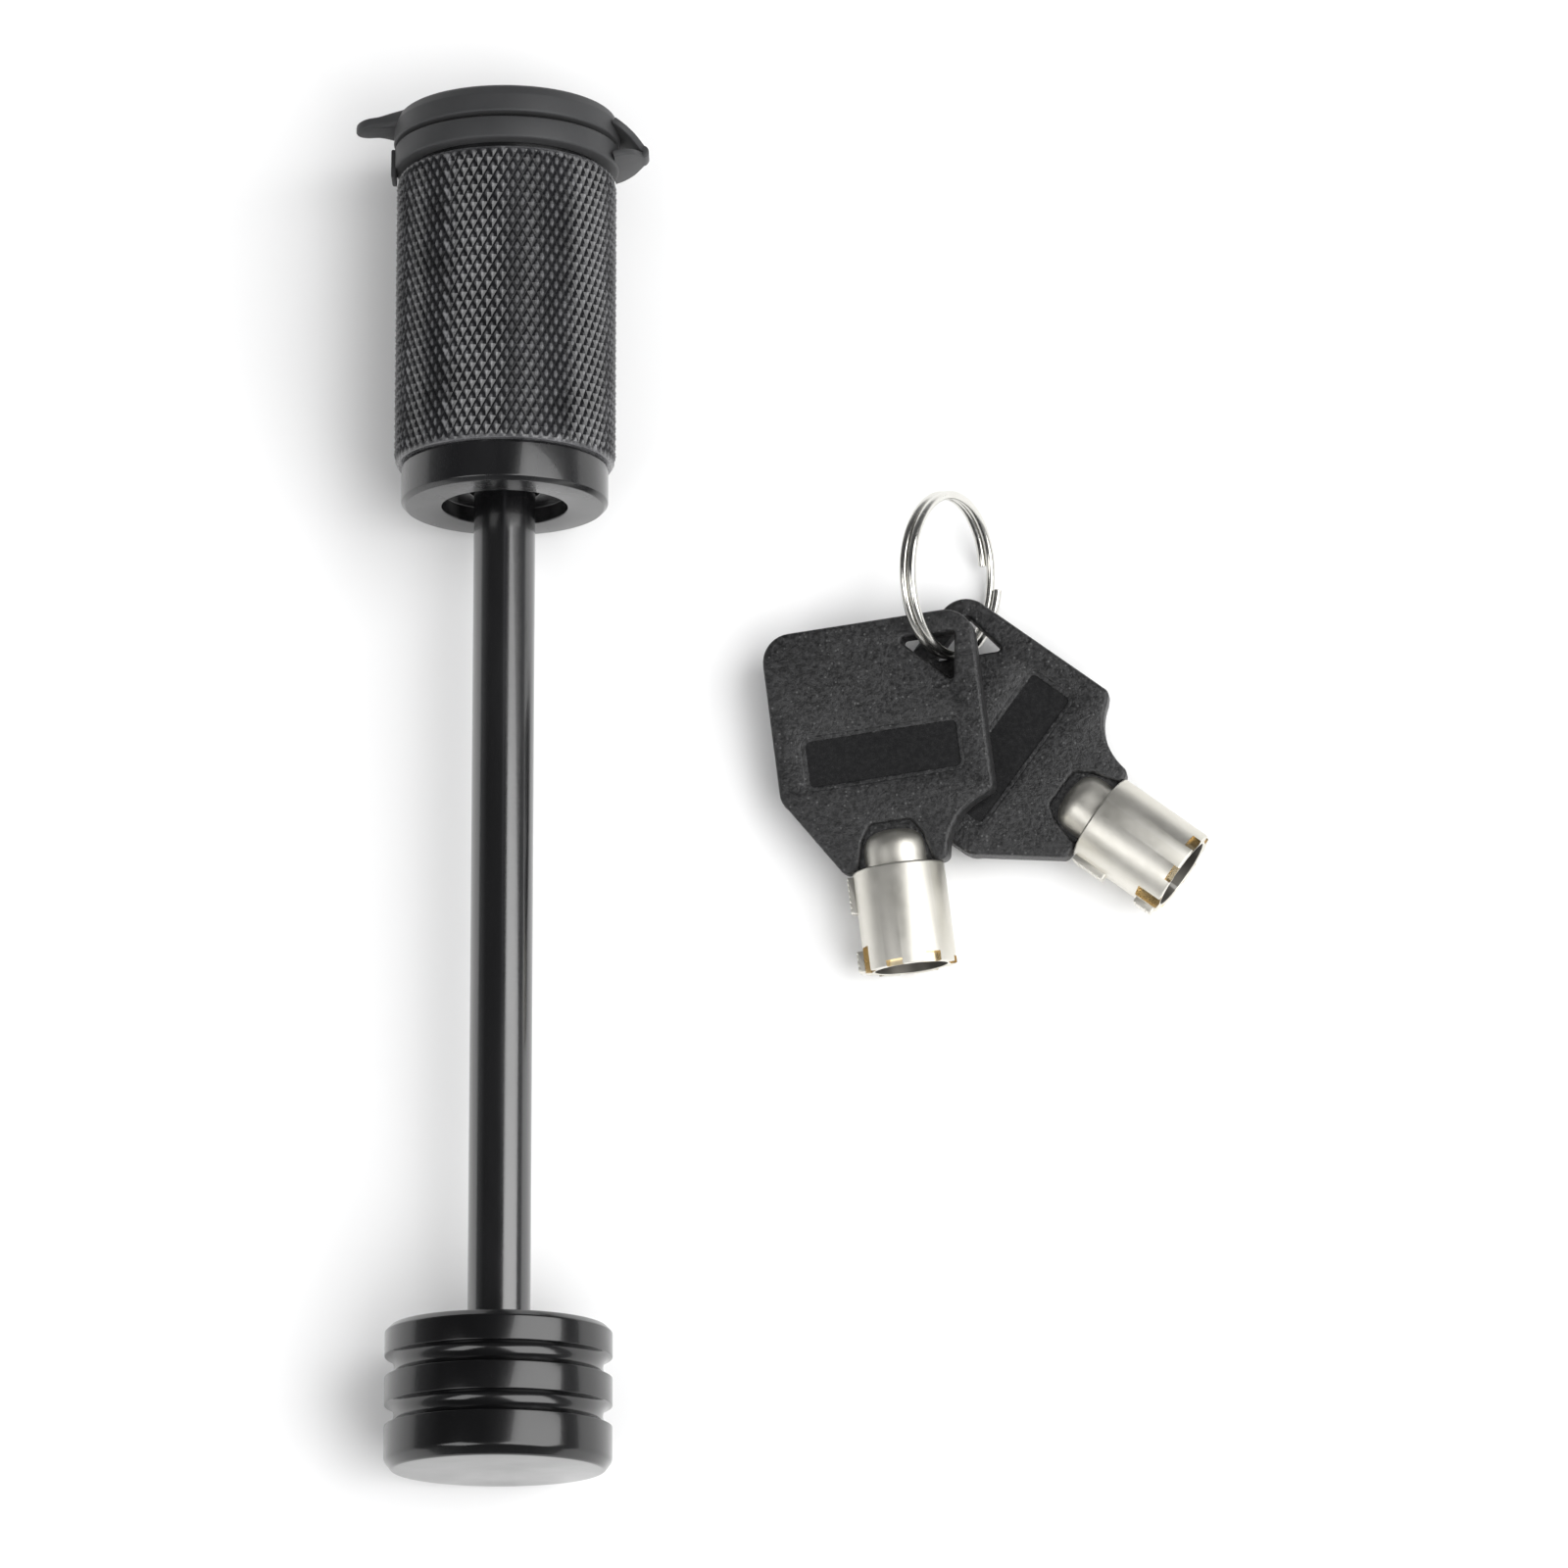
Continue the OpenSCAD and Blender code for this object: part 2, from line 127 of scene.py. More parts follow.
# The rubber ring, the cap, and the strap that folds at the hinge's (x, y).
RING_R = 11.725
CAP_R = cap_high.z
CAP_GAP = 0.45
HINGE = (14.35, 81.1)
STRAP_T = 0.7
STRAP_ROOT_HALF = 4.2
STRAP_TIP_HALF = 1.5

# The keys: moulded bow, tube with its neck, and the cuts in the tube's open end.
BOW_T = 3.2
BOW_W = 22.2
BOW_H = 25.8
TUBE_R = 4.75
TUBE_BORE_R = 3.75
TUBE_LEN = 10.5
BORE_END = 1.3
NECK_R = 3.35
NECK_LEN = 1.5
NECK_TOP = 4.0
KEY_CODE = (5, 0, 1, 0, 2, 1, 0)
CUT_MIN = 0.6
CUT_STEP = 0.4
CUT_W = 1.8
RIB_W = 1.9
RIB_TOOTH = 0.3
RIB_STRETCHES = ((-4.2, -0.4), (-10.3, -8.1))

# The split ring.
WIRE_D = 0.9
COIL_R = 8.3
COIL_PITCH = 0.93
COIL_TURNS = 1.95
COIL_START = 9.0


def turned(angle, axis):
    return Matrix.Rotation(math.radians(angle), 4, axis)


def key_place(at, heading, pitch, roll):
    return Matrix.Translation(at) @ turned(heading, "Z") @ turned(pitch, "X") @ turned(roll, "Y")


KEY_PLACES = {
    "key_1": key_place((40.55, 5.98, -6.26), 7.15, 4.66, -10.39),
    "key_2": key_place((61.35, 11.57, -7.05), 53.42, -2.36, -6.67),
}
COIL_PLACE = (
    Matrix.Translation((46.01, 36.54, -3.68))
    @ turned(13.37, "X")
    @ turned(57.48, "Y")
    @ turned(COIL_START, "Z")
)


# ---- Mesh making ----


def finish_mesh(name, bm, materials, body, stands_for=None, smooth_angle=40):
    """Turns a bmesh in millimetres into a named piece that rides on a body."""
    bmesh.ops.remove_doubles(bm, verts=bm.verts, dist=1e-5)
    bmesh.ops.recalc_face_normals(bm, faces=bm.faces)
    bm.transform(Matrix.Scale(MM, 4))
    mesh = bpy.data.meshes.new(name)
    bm.to_mesh(mesh)
    bm.free()
    mesh.set_sharp_from_angle(angle=math.radians(smooth_angle))
    obj = bpy.data.objects.new(name, mesh)
    bpy.context.scene.collection.objects.link(obj)
    for material in materials:
        mesh.materials.append(material)
    if body:
        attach(obj, body)
    if stands_for:
        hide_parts(stands_for)
    return obj


def rounded(points, steps=4):
    """A profile of (r, y) or (r, y, fillet radius) points with its corners turned into arcs."""
    out = []
    count = len(points)
    for i, point in enumerate(points):
        here = Vector(point[:2])
        radius = point[2] if len(point) > 2 else 0
        if not radius:
            out.append(here)
            continue
        before = Vector(points[(i - 1) % count][:2]) - here
        after = Vector(points[(i + 1) % count][:2]) - here
        half = before.angle(after) / 2
        reach = min(radius / math.tan(half), before.length * 0.49, after.length * 0.49)
        radius = reach * math.tan(half)
        inwards = (before.normalized() + after.normalized()).normalized()
        centre = here + inwards * (radius / math.sin(half))
        start = here + before.normalized() * reach - centre
        end = here + after.normalized() * reach - centre
        sweep = start.angle_signed(end)
        for k in range(steps + 1):
            out.append(centre + Matrix.Rotation(-sweep * k / steps, 2) @ start)
    return out


def revolve(bm, profile, segments):
    """Turns a closed profile of (r, y) round the Y axis. Ends on the axis close the shape."""
    angles = [TAU * k / segments for k in range(segments)]
    rings = []
    for r, y in profile:
        on_axis = r < 1e-6
        spots = [(0, y, 0)] if on_axis else [(r * math.cos(a), y, r * math.sin(a)) for a in angles]
        rings.append([bm.verts.new(spot) for spot in spots])
    for a, b in zip(rings, rings[1:] + rings[:1]):
        if len(a) == 1 and len(b) == 1:
            continue
        for k in range(segments):
            n = (k + 1) % segments
            corners = [a[k % len(a)], a[n % len(a)], b[n % len(b)], b[k % len(b)]]
            bm.faces.new(list(dict.fromkeys(corners))).smooth = True


def arc(centre, radius, start, end, steps=8):
    """Points round a centre from one angle to another, in degrees."""
    angles = [math.radians(start + (end - start) * k / steps) for k in range(steps + 1)]
    return [(centre[0] + radius * math.cos(a), centre[1] + radius * math.sin(a)) for a in angles]


def moved_in(loop, distance):
    """A closed loop moved to its left by a distance, keeping its corners."""
    out = []
    count = len(loop)
    for i in range(count):
        p, q, r = (Vector(loop[(i + k) % count]) for k in (-1, 0, 1))
        a, b = (q - p).normalized(), (r - q).normalized()
        left = Vector((-a.y - b.y, a.x + b.x))
        if left.length < 1e-9:
            left = Vector((-a.y, a.x))
        left.normalize()
        stretch = 1 / max(0.5, left.dot(Vector((-a.y, a.x))))
        out.append(tuple(q + left * distance * stretch))
    return out


def area(loop):
    """The area inside a closed loop, positive when it is wound anticlockwise."""
    return sum(a[0] * b[1] - b[0] * a[1] for a, b in zip(loop, [*loop[1:], loop[0]])) / 2


def facing(loop, sign):
    """The loop wound anticlockwise for sign 1 and clockwise for sign -1."""
    return list(loop) if area(loop) * sign > 0 else list(reversed(loop))


def bridge(bm, low, high):
    for k in range(len(low)):
        n = (k + 1) % len(low)
        bm.faces.new([low[k], low[n], high[n], high[k]]).smooth = True


def fill(bm, loops, material=0):
    """Closes an outline and the holes in it with flat triangles."""
    flat = [[v.co.copy() for v in loop] for loop in loops]
    verts = [v for loop in loops for v in loop]
    for triangle in tessellate_polygon(flat):
        corners = [verts[k] for k in triangle]
        if len(set(corners)) == 3 and bm.faces.get(corners) is None:
            bm.faces.new(corners).material_index = material


# The raised lip round a pocket, as (distance outwards from the pocket's outline, depth).
POCKET_LIP = ((-0.52, 0), (-0.47, 0.02), (-0.42, 0.09), (-0.1, 0.1), (-0.02, 0.12), (0.02, 0.2))
POCKET_FLOOR_OUT = 0.05


def plate(bm, outline, thickness, bevel, holes=(), pockets=(), steps=4):
    """A flat plate with rounded edges, through holes, and a shallow pocket on both faces.
    Each pocket is (loop, depth, material of its floor)."""
    loops = [facing(outline, 1)] + [facing(hole, -1) for hole in holes]
    half = thickness / 2
    edge_rings = []
    for loop in loops:
        rings = []
        for side in (-1, 1):
            for k in range(steps + 1):
                turn = math.pi / 2 * (k / steps if side > 0 else 1 - k / steps)
                ring = moved_in(loop, bevel * (1 - math.cos(turn)))
                z = side * (half - bevel * (1 - math.sin(turn)))
                rings.append([bm.verts.new((x, y, z)) for x, y in ring])
        for low, high in zip(rings, rings[1:]):
            bridge(bm, low, high)
        edge_rings.append((rings[0], rings[-1]))
    for side in (0, 1):
        sign = 1 if side else -1
        caps = [rings[side] for rings in edge_rings]
        for loop, depth, material in pockets:
            loop = facing(loop, -1)
            rings = []
            for out, down in (*POCKET_LIP, (POCKET_FLOOR_OUT, depth)):
                z = sign * (half - down)
                rings.append([bm.verts.new((x, y, z)) for x, y in moved_in(loop, -out)])
            for top, low in zip(rings, rings[1:]):
                bridge(bm, top, low)
            caps.append(rings[0])
            fill(bm, [rings[-1]], material)
        fill(bm, caps)


# ---- Materials ----


class Finish:
    """A procedural material: a Principled shader and short calls that add nodes to it."""

    def __init__(self, name, **settings):
        self.material = bpy.data.materials.new(name)
        self.material.use_nodes = True
        self.tree = self.material.node_tree
        self.shader = self.tree.nodes["Principled BSDF"]
        for key, value in settings.items():
            self.shader.inputs[key.replace("_", " ")].default_value = value
        self.place = self.add("ShaderNodeTexCoord").outputs["Object"]

    def feed(self, socket, value):
        """Links a socket to another node's output, or sets it to a constant."""
        if isinstance(value, bpy.types.NodeSocket):
            self.tree.links.new(value, socket)
        elif socket.type == "RGBA":
            socket.default_value = (*value, 1)
        else:
            socket.default_value = value

    def add(self, kind, **inputs):
        node = self.tree.nodes.new(kind)
        for key, value in inputs.items():
            self.feed(node.inputs[key], value)
        return node

    def scaled(self, x, y, z):
        return self.add("ShaderNodeMapping", Vector=self.place, Scale=(x, y, z)).outputs[0]

    def noise(self, scale, detail=3.0, vector=None, rough=0.6):
        at = vector or self.place
        node = self.add("ShaderNodeTexNoise", Vector=at, Scale=scale, Detail=detail, Roughness=rough)
        return node.outputs["Fac"]

    def between(self, value, low, high, out_low=0.0, out_high=1.0):
        """The value's place between low and high, carried over to the out range."""
        node = self.add("ShaderNodeMapRange", Value=value)
        node.inputs["From Min"].default_value = low
        node.inputs["From Max"].default_value = high
        node.inputs["To Min"].default_value = out_low
        node.inputs["To Max"].default_value = out_high
        return node.outputs["Result"]

    def math(self, operation, a, b):
        node = self.tree.nodes.new("ShaderNodeMath")
        node.operation = operation
        self.feed(node.inputs[0], a)
        self.feed(node.inputs[1], b)
        return node.outputs[0]

    def plus(self, a, b):
        return self.math("ADD", a, b)

    def times(self, a, b):
        return self.math("MULTIPLY", a, b)

    def mix(self, factor, a, b):
        """A colour between a and b. The Mix node keeps its colour sockets at 6 and 7."""
        node = self.tree.nodes.new("ShaderNodeMix")
        node.data_type = "RGBA"
        self.feed(node.inputs[0], factor)
        self.feed(node.inputs[6], a)
        self.feed(node.inputs[7], b)
        return node.outputs[2]

    def specks(self, scale, size, share):
        """Small separate dots: 1 on a dot, 0 elsewhere."""
        cells = self.add("ShaderNodeTexVoronoi", Vector=self.place, Scale=scale, Randomness=1.0)
        near = self.between(cells.outputs["Distance"], size, size * 0.6)
        picked = self.between(cells.outputs["Color"], 1 - share, 1 - share + 0.02)
        return self.times(near, picked)

    def edges(self, low, high):
        """1 where the surface is sharply convex, 0 on flats and in hollows."""
        geometry = self.tree.nodes.new("ShaderNodeNewGeometry")
        return self.between(geometry.outputs["Pointiness"], low, high)

    def set(self, **sockets):
        for key, value in sockets.items():
            self.tree.links.new(value, self.shader.inputs[key.replace("_", " ")])

    def bump(self, *layers):
        """Each layer is (height, strength, distance in metres)."""
        normal = None
        for height, strength, distance in layers:
            node = self.add("ShaderNodeBump", Height=height, Strength=strength, Distance=distance)
            if normal is not None:
                self.tree.links.new(normal, node.inputs["Normal"])
            normal = node.outputs["Normal"]
        self.tree.links.new(normal, self.shader.inputs["Normal"])


def gloss_black(name, dark, light, rough, coat, ior=1.55):
    """Black oxide under a thin clear film, with turning marks, smears, dust and light scratches."""
    f = Finish(name, IOR=ior, Coat_Weight=coat, Coat_Roughness=0.06)
    smears = f.noise(90, 5, f.scaled(1.4, 0.35, 1.4))
    marks = f.noise(900, 2, f.scaled(0.15, 4.0, 0.15))
    dust = f.specks(520, 0.055, 0.05)
    scratches = f.between(f.noise(60, 7, f.scaled(9, 0.6, 9), 0.75), 0.66, 0.72)
    grain = f.noise(2600, 3)
    base = f.mix(f.between(smears, 0.35, 0.7), dark, light)
    base = f.mix(f.edges(0.53, 0.62), base, tuple(3 * c for c in light))
    base = f.mix(f.times(dust, 0.55), base, (0.32, 0.31, 0.29))
    rubbed = f.plus(f.between(smears, 0.3, 0.75, rough, rough + 0.14), f.times(scratches, 0.12))
    f.set(Base_Color=base, Roughness=f.plus(rubbed, f.times(dust, 0.4)))
    f.bump(
        (marks, 0.12, 0.00002),
        (grain, 0.16, 0.00003),
        (scratches, 0.1, 0.00001),
        (smears, 0.05, 0.00005),
    )
    return f.material


def knurled_black():
    """The same black rubbed paler on the knurl's tips."""
    f = Finish("knurl_black", IOR=1.5, Coat_Weight=0.3, Coat_Roughness=0.2)
    wear = f.edges(0.5, 0.58)
    patch = f.between(f.noise(260, 4), 0.35, 0.65)
    base = f.mix(patch, (0.006, 0.006, 0.007), (0.014, 0.014, 0.016))
    base = f.mix(f.times(wear, f.between(patch, 0, 1, 0.35, 0.8)), base, (0.24, 0.24, 0.25))
    f.set(Base_Color=base, Roughness=f.between(f.noise(700, 3), 0.3, 0.7, 0.17, 0.34))
    f.bump((f.noise(5200, 3), 0.25, 0.00003))
    return f.material


def soft_rubber():
    """Dull dark grey rubber, slightly clouded and dusty."""
    f = Finish(
        "soft_rubber", IOR=1.48, Specular_IOR_Level=0.42, Sheen_Weight=0.06, Sheen_Roughness=0.5
    )
    cloud = f.noise(130, 5)
    dust = f.specks(700, 0.06, 0.03)
    base = f.mix(f.between(cloud, 0.3, 0.7), (0.03, 0.0305, 0.032), (0.039, 0.0395, 0.041))
    base = f.mix(f.times(dust, 0.6), base, (0.35, 0.35, 0.34))
    f.set(Base_Color=base, Roughness=f.between(cloud, 0.3, 0.7, 0.5, 0.62))
    f.bump((f.noise(4200, 2), 0.3, 0.00003), (f.noise(420, 3), 0.12, 0.00008))
    return f.material


def grained_plastic(name, dark, light, rough, grain, specks):
    """Moulded black plastic: fine spark-eroded grain and pale specks."""
    f = Finish(name, IOR=1.5, Specular_IOR_Level=0.5)
    cloud = f.noise(150, 4)
    grains = f.noise(2000, 3, rough=0.75)
    pale = f.specks(2100, 0.3, specks)
    mottle = f.plus(f.between(cloud, 0.3, 0.7, 0, 0.35), f.between(grains, 0.42, 0.6, 0, 0.65))
    base = f.mix(mottle, dark, light)
    base = f.mix(f.times(pale, 0.45), base, (0.12, 0.12, 0.12))
    f.set(Base_Color=base, Roughness=f.between(grains, 0.3, 0.7, rough - 0.08, rough + 0.08))
    f.bump((grains, grain, 0.00012), (f.noise(300, 3), 0.1, 0.0001))
    return f.material


def metal(name, low, high, rough, brushed, stretch=(1, 1, 1), stain=None):
    """Bare or plated metal with fine marks along one direction and slightly uneven tone."""
    f = Finish(name, Metallic=1.0)
    tone = f.noise(160, 5)
    fine = f.noise(1400, 4, f.scaled(*stretch), 0.7)
    base = f.mix(f.between(tone, 0.3, 0.7), low, high)
    if stain:
        base = f.mix(f.between(f.noise(420, 5), 0.55, 0.75, 0, 0.6), base, stain)
    base = f.mix(f.times(f.edges(0.52, 0.6), 0.3), base, (0.9, 0.88, 0.84))
    uneven = f.between(tone, 0.3, 0.7, rough - 0.04, rough + 0.05)
    f.set(Base_Color=base, Roughness=f.plus(uneven, f.between(fine, 0.3, 0.7, -0.03, 0.04)))
    f.bump((fine, brushed, 0.00002), (f.noise(240, 3), 0.08, 0.00006))
    return f.material


TURNED = (0.2, 3, 0.2)

BLACK = gloss_black(
    "black_gloss", (0.002, 0.002, 0.0022), (0.004, 0.004, 0.0044), rough=0.14, coat=0.3
)
SHAFT_BLACK = gloss_black(
    "black_shaft", (0.002, 0.002, 0.0022), (0.005, 0.005, 0.0055), rough=0.15, coat=0.5, ior=1.85
)
COLLAR_BLACK = gloss_black(
    "black_collar", (0.004, 0.004, 0.0045), (0.008, 0.008, 0.0088), rough=0.19, coat=0.3
)
KNURL = knurled_black()
RUBBER = soft_rubber()
PLASTIC = grained_plastic(
    "key_plastic", (0.002, 0.002, 0.0022), (0.032, 0.032, 0.033), rough=0.44, grain=1.0, specks=0.35
)
PANEL = grained_plastic(
    "key_panel", (0.011, 0.011, 0.0115), (0.016, 0.016, 0.0165), rough=0.22, grain=0.03, specks=0.01
)
NICKEL = metal("satin_nickel", (0.7, 0.68, 0.61), (0.8, 0.78, 0.72), rough=0.43, brushed=0.08)
WIRE = metal("wire_nickel", (0.66, 0.65, 0.61), (0.8, 0.79, 0.75), rough=0.22, brushed=0.03)
# Painted shade: the inside of the key tube is coloured near-black for the shade that falls in it.
BORE_PAINTED_SHADE = metal("tube_bore_painted_shade", (0.1, 0.095, 0.085), (0.18, 0.17, 0.15), rough=0.5, brushed=0.1)
BRASS = metal("cut_brass", (0.7, 0.58, 0.38), (0.82, 0.71, 0.5), rough=0.26, brushed=0.1)
INNER_BRASS = metal(
    "machined_brass", (0.55, 0.42, 0.18), (0.68, 0.53, 0.25), 0.3, 0.2, TURNED, (0.3, 0.2, 0.08)
)
STEEL = metal(
    "bright_steel", (0.5, 0.5, 0.52), (0.64, 0.64, 0.66), 0.24, 0.2, TURNED, (0.3, 0.28, 0.26)
)
SPRING = metal("spring_steel", (0.45, 0.45, 0.47), (0.58, 0.58, 0.6), rough=0.28, brushed=0.1)


# ---- Pin and knob ----


def knob():
    end, shoulder = knob_low.y, knob_high.y
    chamfer = 0.6
    socket_r = PIN_R - 0.3
    centre_r = KNOB_R + KNOB_GROOVE_R - KNOB_GROOVE_DEPTH
    swing = math.degrees(math.acos((centre_r - KNOB_R) / KNOB_GROOVE_R))
    profile = [(0, end), (KNOB_R - 0.75, end, 0.5), (KNOB_R, end + 1.0, 0.8)]
    for from_end in KNOB_GROOVES:
        centre = (centre_r, end + from_end)
        first, *middle, last = arc(centre, KNOB_GROOVE_R, 180 + swing, 180 - swing, 20)
        profile += [(*first, 0.1), *middle, (*last, 0.1)]
    profile += [
        (KNOB_R, shoulder - chamfer, 0.3),
        (KNOB_R - chamfer, shoulder, 0.3),
        (socket_r, shoulder),
        (socket_r, shoulder - 1),
        (0, shoulder - 1),
    ]
    bm = bmesh.new()
    revolve(bm, rounded(profile), 192)
    finish_mesh("knob", bm, [BLACK], "pin", "pin_knob")


def shaft():
    reach = math.degrees(math.acos((GROOVE_CENTRE_R - NOSE_R) / GROOVE_SECTION_R))
    centre = (GROOVE_CENTRE_R, GROOVE_CENTRE_Y)
    seat = knob_high.y - SEAT_DEPTH
    tip = shaft_high.y
    chamfer = 1
    profile = [
        (0, shaft_low.y),
        (SPIGOT_R, shaft_low.y),
        (SPIGOT_R, seat),
        (PIN_R, seat),
        (PIN_R, NOSE_START, 0.1),
        (NOSE_R, NOSE_START + NOSE_STEP, 0.1),
        *arc(centre, GROOVE_SECTION_R, 180 + reach, 180 - reach, 12),
        (NOSE_R, tip - chamfer, 0.2),
        (NOSE_R - chamfer, tip, 0.2),
        (0, tip),
    ]
    bm = bmesh.new()
    revolve(bm, rounded(profile), 128)
    finish_mesh("shaft", bm, [SHAFT_BLACK], "pin", "pin_shaft")


# ---- Lock head ----


def collar_and_core():
    start, end = body_low.y, body_high.y
    top = start + COLLAR_LEN
    seat_start, seat_end = ring_low.y + 0.1, ring_high.y - 0.35
    lower, upper = 0.45, 0.3
    profile = [
        (RECESS_R, start, 0.15),
        (COLLAR_R - lower, start, 0.2),
        (COLLAR_R, start + lower, 0.25),
        (COLLAR_R, top - upper, 0.08),
        (COLLAR_R - upper, top, 0.08),
        (CORE_R, top),
        (CORE_R, seat_start),
        (SEAT_R, seat_start),
        (SEAT_R, seat_end),
        (CORE_END_R, seat_end),
        (CORE_END_R, end, 0.15),
        (CAVITY_R, end, 0.15),
        (CAVITY_R, start + CAVITY_START),
        (BORE_R, start + CAVITY_START),
        (BORE_R, start + RECESS_DEPTH, 0.1),
        (RECESS_R, start + RECESS_DEPTH, 0.1),
    ]
    bm = bmesh.new()
    revolve(bm, rounded(profile), 192)
    finish_mesh("collar", bm, [COLLAR_BLACK], "head", "lock_body")


def knurled_sleeve():
    """The sleeve's outside is a grid whose cells follow the two families of grooves exactly."""
    cells = 8
    edge = 0.32
    edge_chamfer = 0.1
    low, high = sleeve_low.y, sleeve_high.y
    around = KNURL_STARTS * cells
    length = high - low - 2 * edge
    rows = round(length / (KNURL_PITCH / cells))
    step = length / rows
    inner = CORE_R + 0.02
    plain = SLEEVE_R - KNURL_DEPTH - 0.05
    chamfered = plain - edge_chamfer
    bm = bmesh.new()

    def ridge(phase):
        return 1 - 2 * abs((phase + 0.5) % 1 - 0.5)

    def knurl_r(k, row):
        a, b = k / cells, row / cells
        rise = min(ridge(a + b), ridge(a - b))
        fade = min(1, row / 2, (rows - row) / 2)
        return SLEEVE_R - KNURL_DEPTH * (1 - rise * (0.35 + 0.65 * fade))

    def ring(y, radii):
        spots = [(r, TAU * k / around) for k, r in enumerate(radii)]
        return [bm.verts.new((r * math.cos(a), y, r * math.sin(a))) for r, a in spots]

    foot = [(low, inner), (low, chamfered), (low + edge_chamfer, plain)]
    head = [(high - edge_chamfer, plain), (high, chamfered), (high, inner)]
    rings = [ring(y, [r] * around) for y, r in foot]
    for row in range(rows + 1):
        rings.append(ring(low + edge + row * step, [knurl_r(k, row) for k in range(around)]))
    rings += [ring(y, [r] * around) for y, r in head]
    first = len(foot)
    for i, (a, b) in enumerate(zip(rings, rings[1:] + rings[:1])):
        knurl = first <= i < first + rows
        for k in range(around):
            n = (k + 1) % around
            if not knurl:
                bm.faces.new([a[k], a[n], b[n], b[k]]).smooth = True
            elif (k + i - first) % 2:
                bm.faces.new([a[k], a[n], b[k]])
                bm.faces.new([a[n], b[n], b[k]])
            else:
                bm.faces.new([a[k], a[n], b[n]])
                bm.faces.new([a[k], b[n], b[k]])
    finish_mesh("knurled_sleeve", bm, [KNURL], "head", "grip_sleeve", 12)


def rubber_ring():
    low, high = ring_low.y, ring_high.y
    seat_r = SEAT_R + 0.05
    core_r = CORE_R + 0.05
    end_r = CORE_END_R + 0.05
    profile = [
        (seat_r, low + 0.15),
        (core_r, low + 0.15),
        (core_r, low),
        (RING_R, low, 0.3),
        (RING_R, high, 0.22),
        (end_r, high, 0.1),
        (end_r, high - 0.4),
        (seat_r, high - 0.4),
    ]
    bm = bmesh.new()
    revolve(bm, rounded(profile), 192)
    finish_mesh("rubber_ring", bm, [RUBBER], "head", "cap_ring")


def ring_lug():
    """The small lug of the ring that hangs over the sleeve below the pull tab."""
    outer, inner = -12.05, -11.55
    top = ring_high.y - 0.2
    foot = top - 3.1
    outline = [(outer, top, 0.2), (outer, foot, 0.25), (inner, foot, 0.1), (inner, top, 0.1)]
    bm = bmesh.new()
    plate(bm, rounded(outline), thickness=3.0, bevel=0.12)
    finish_mesh("ring_lug", bm, [RUBBER], "head")


def rubber_cap():
    low, high = ring_high.y + CAP_GAP, cap_high.y
    inside_r = 10.05
    inside_end = high - 1.4
    profile = [
        (0, inside_end),
        (inside_r, inside_end, 0.3),
        (inside_r, low, 0.15),
        (CAP_R, low, 0.25),
        (CAP_R - 0.1, low + 2.0, 0.6),
        (11.35, high - 0.25, 0.7),
        (10.2, high, 0.8),
        (0, high),
    ]
    bm = bmesh.new()
    revolve(bm, rounded(profile, 6), 192)
    finish_mesh("rubber_cap", bm, [RUBBER], "cap", "dust_cap")


def pull_tab():
    """Leaf-shaped tab on the side away from the hinge, with filleted roots and a slight droop."""
    embed_r = CAP_R - 1.2
    root_half = 5.2
    tip_r = 1.9
    steps = 10
    root_angle = math.degrees(math.asin(root_half / embed_r))
    root = -embed_r * math.cos(math.radians(root_angle))
    reach = -cap_low.x
    flanks = []
    for side in (1, -1):
        flank = []
        for k in range(steps + 1):
            t = k / steps
            across = tip_r + (root_half - tip_r) * (1 - t) ** 1.5
            flank.append((root - t * (reach - tip_r + root), side * across))
        flanks.append(flank)
    tip = arc((-reach + tip_r, 0), tip_r, 90, 270, 12)
    inside = arc((0, 0), embed_r, 180 + root_angle, 180 - root_angle, 12)
    bm = bmesh.new()
    plate(bm, flanks[0] + tip[1:-1] + flanks[1][::-1] + inside[1:-1], thickness=1.1, bevel=0.32)
    middle = ring_high.y + 2.8
    fillet = 1.5
    for v in bm.verts:
        x, across, up = v.co
        out = max(0, -CAP_R - x)
        thicker = 1 + 0.25 * max(0, 1 - out / fillet)
        droop = 0.025 * out * out
        v.co = Vector((x, middle + up * thicker - droop, -across))
    finish_mesh("pull_tab", bm, [RUBBER], "cap")


